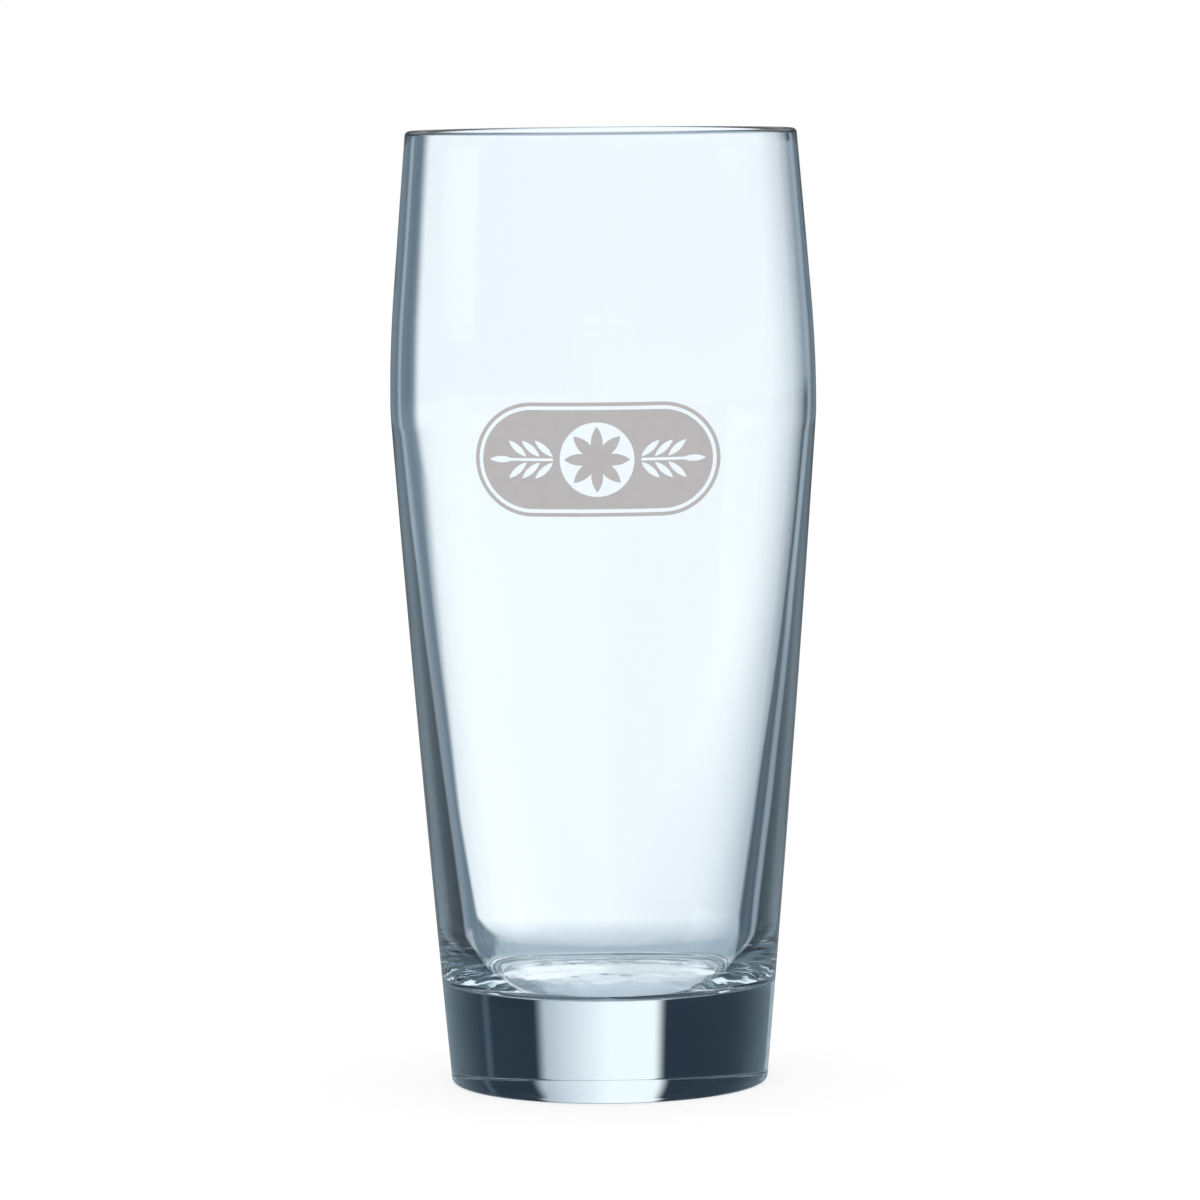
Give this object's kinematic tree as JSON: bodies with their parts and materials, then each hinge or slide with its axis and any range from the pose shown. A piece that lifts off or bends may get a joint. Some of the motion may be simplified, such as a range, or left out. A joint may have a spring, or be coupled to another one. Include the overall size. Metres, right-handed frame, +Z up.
{
  "type": "beer glass",
  "caption": "Tall straight-sided beer glass that swells to a belly below a slightly drawn-in rim, with a heavy solid base and a grey enamel print on the front.",
  "frame": {"origin": "middle of the flat ring that the glass stands on, on the table", "axes": "+Z up along the glass's axis, the print faces -Y, +X to the right when the print is looked at"},
  "size_m": [0.0704, 0.0705, 0.158],
  "materials": {
    "clear_glass": "clear soda-lime glass, fire polished, faintly blue where it is thick",
    "grey_enamel": "warm grey vitreous enamel, screen printed and fired on, satin"
  },
  "bodies": {
    "root": {"glass_body": "clear_glass", "print_border": "grey_enamel", "print_field": "grey_enamel", "print_rosette": "grey_enamel"}
  },
  "joints": []
}
